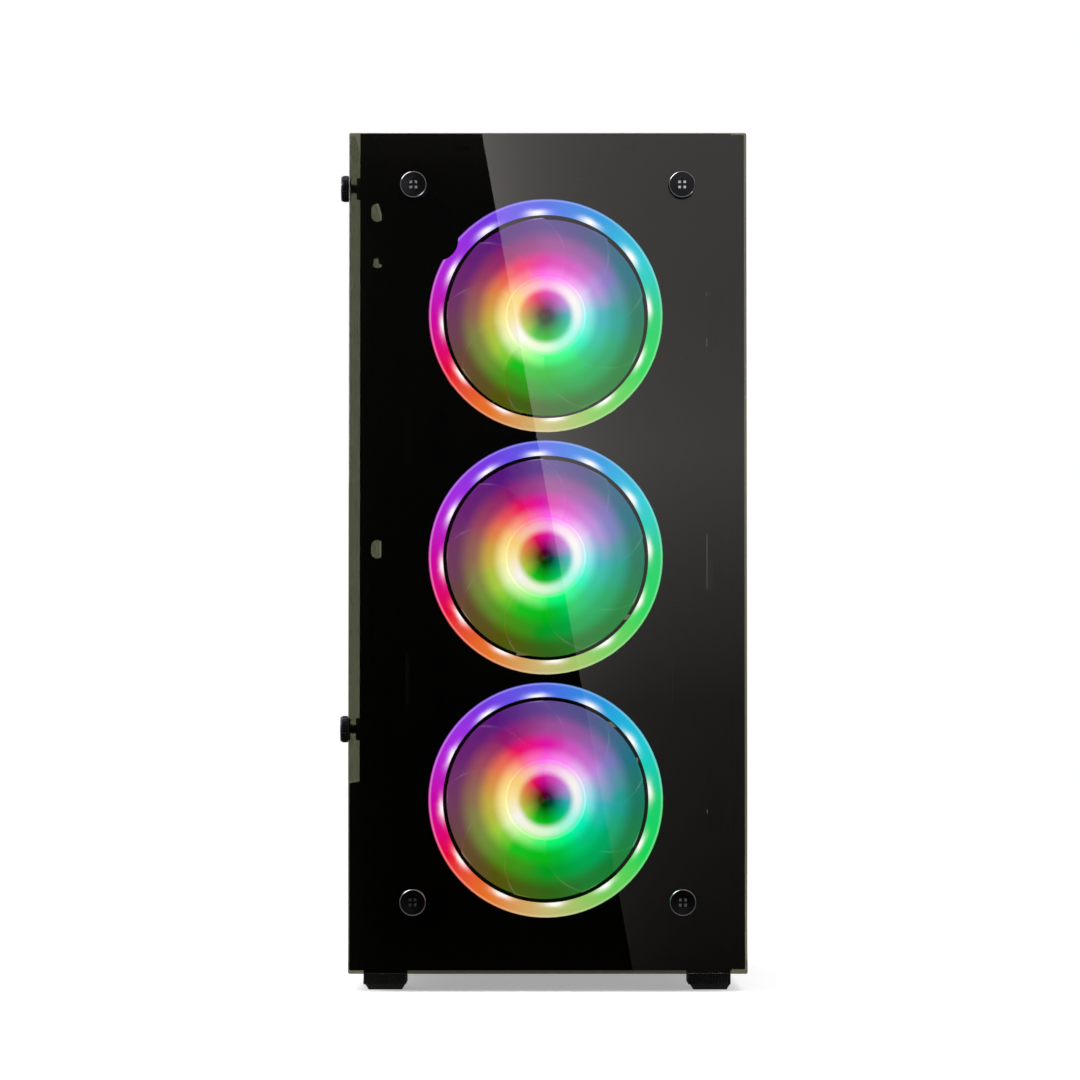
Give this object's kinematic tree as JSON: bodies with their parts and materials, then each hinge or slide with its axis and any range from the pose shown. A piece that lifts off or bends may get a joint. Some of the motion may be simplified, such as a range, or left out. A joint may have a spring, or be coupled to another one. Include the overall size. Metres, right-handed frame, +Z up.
{
  "type": "desktop computer tower",
  "caption": "Upright desktop computer with a tinted glass front over lit intake fans, a removable clear glass side and all working parts inside.",
  "frame": {"origin": "middle of the footprint on the floor, under the centre of the bounding box", "axes": "+Z up; the front glass faces -Y, the clear side glass faces -X, the rear connectors face +Y"},
  "size_m": [0.2008, 0.403, 0.4266],
  "materials": {
    "tinted_glass": "polished, dark tint",
    "clear_glass": "polished",
    "black_steel": "fine powder coat",
    "dark_chrome": "polished dark nickel",
    "black_screw": "satin black",
    "brass": "machined",
    "black_plastic": "matte",
    "frosted_diffuser": "frosted, lit from inside",
    "frosted_blades": "translucent",
    "dark_blades": "matte",
    "rubber": "matte",
    "circuit_board": "solder mask",
    "fin_aluminium": "satin",
    "dark_aluminium": "anodised",
    "port_steel": "plated",
    "filter_mesh": "fine woven mesh",
    "cable_sleeve": "braided"
  },
  "bodies": {
    "case": {"board_heatsinks": "dark_aluminium", "board_standoffs": "brass", "bottom_plate": "black_steel", "cooler_fan_frame": "black_plastic", "cooler_heatsink": "fin_aluminium", "drive_cage": "black_steel", "fan_1_frame": "black_plastic", "fan_1_light_ring": "frosted_diffuser", "fan_2_frame": "black_plastic", "fan_2_light_ring": "frosted_diffuser", "fan_3_frame": "black_plastic", "fan_3_light_ring": "frosted_diffuser", "fan_motors": "black_plastic", "fan_screws": "black_screw", "feet": "rubber", "front_audio_jacks": "black_plastic", "front_glass": "tinted_glass", "front_glass_screws": "dark_chrome", "front_glass_standoffs": "dark_chrome", "front_plate": "black_steel", "front_usb_ports": "port_steel", "graphics_card_board": "circuit_board", "graphics_card_heatsink": "fin_aluminium", "graphics_card_shroud": "black_plastic", "hard_drive": "fin_aluminium", "io_bezel": "black_plastic", "io_board": "circuit_board", "lower_side_skirt": "black_steel", "memory_modules": "dark_aluminium", "motherboard": "circuit_board", "motherboard_tray": "black_steel", "power_cables": "cable_sleeve", "psu_housing": "black_steel", "psu_inlet": "black_plastic", "psu_shroud": "black_steel", "rear_fan_frame": "black_plastic", "rear_io_ports": "port_steel", "rear_plate": "black_steel", "rear_screws": "black_screw", "side_glass_posts": "dark_chrome", "slot_covers": "black_steel", "top_plate": "black_steel"},
    "fan_1_wheel": {"fan_1_impeller": "frosted_blades"},
    "fan_2_wheel": {"fan_2_impeller": "frosted_blades"},
    "fan_3_wheel": {"fan_3_impeller": "frosted_blades"},
    "rear_fan_wheel": {"rear_fan_impeller": "dark_blades"},
    "cooler_wheel": {"cooler_impeller": "dark_blades"},
    "graphics_wheel_1": {"graphics_fan_1": "dark_blades"},
    "graphics_wheel_2": {"graphics_fan_2": "dark_blades"},
    "supply_wheel": {"psu_impeller": "dark_blades"},
    "supply_rocker": {"psu_switch": "black_plastic"},
    "power_key": {"power_button": "black_plastic"},
    "reset_key": {"reset_button": "black_plastic"},
    "side_window": {"side_glass": "clear_glass", "side_glass_washers": "rubber", "side_thumbscrews": "dark_chrome"},
    "right_panel": {"right_side_panel": "black_steel", "right_panel_thumbscrews": "black_screw"},
    "top_filter": {"top_dust_filter": "filter_mesh"},
    "bottom_filter": {"psu_dust_filter": "filter_mesh"}
  },
  "joints": [
    {"name": "fan_1_spin", "type": "hinge", "parent": "case", "child": "fan_1_wheel", "pos_m": [0.0014, -0.168, 0.334], "axis": [0, 1, 0], "continuous": true},
    {"name": "fan_2_spin", "type": "hinge", "parent": "case", "child": "fan_2_wheel", "pos_m": [0.0014, -0.168, 0.214], "axis": [0, 1, 0], "continuous": true},
    {"name": "fan_3_spin", "type": "hinge", "parent": "case", "child": "fan_3_wheel", "pos_m": [0.0014, -0.168, 0.094], "axis": [0, 1, 0], "continuous": true},
    {"name": "rear_fan_spin", "type": "hinge", "parent": "case", "child": "rear_fan_wheel", "pos_m": [-0.0286, 0.18, 0.333], "axis": [0, 1, 0], "continuous": true},
    {"name": "cooler_fan_spin", "type": "hinge", "parent": "case", "child": "cooler_wheel", "pos_m": [-0.0097, 0.0605, 0.331], "axis": [0, 1, 0], "continuous": true},
    {"name": "graphics_fan_1_spin", "type": "hinge", "parent": "case", "child": "graphics_wheel_1", "pos_m": [0.0143, 0.008, 0.21025], "axis": [0, 0, 1], "continuous": true},
    {"name": "graphics_fan_2_spin", "type": "hinge", "parent": "case", "child": "graphics_wheel_2", "pos_m": [0.0143, 0.116, 0.21025], "axis": [0, 0, 1], "continuous": true},
    {"name": "supply_fan_spin", "type": "hinge", "parent": "case", "child": "supply_wheel", "pos_m": [-0.0036, 0.122, 0.026], "axis": [0, 0, 1], "continuous": true},
    {"name": "supply_switch_rock", "type": "hinge", "parent": "case", "child": "supply_rocker", "pos_m": [-0.0206, 0.1895, 0.055], "axis": [1, 0, 0], "range_deg": [0, 12]},
    {"name": "power_button_press", "type": "slide", "parent": "case", "child": "power_key", "axis": [0, 0, -1], "range_m": [0, 0.0015], "stiffness_N_per_m": 250, "springref_m": -0.001},
    {"name": "reset_button_press", "type": "slide", "parent": "case", "child": "reset_key", "axis": [0, 0, -1], "range_m": [0, 0.0015], "stiffness_N_per_m": 200, "springref_m": -0.001},
    {"name": "side_glass_off", "type": "slide", "parent": "case", "child": "side_window", "axis": [-1, 0, 0], "range_m": [0, 0.12]},
    {"name": "right_panel_release", "type": "slide", "parent": "case", "child": "right_panel", "axis": [0, 1, 0], "range_m": [0, 0.018]},
    {"name": "top_filter_lift", "type": "slide", "parent": "case", "child": "top_filter", "axis": [0, 0, 1], "range_m": [0, 0.05]},
    {"name": "bottom_filter_pull", "type": "slide", "parent": "case", "child": "bottom_filter", "axis": [0, 1, 0], "range_m": [0, 0.12]}
  ]
}
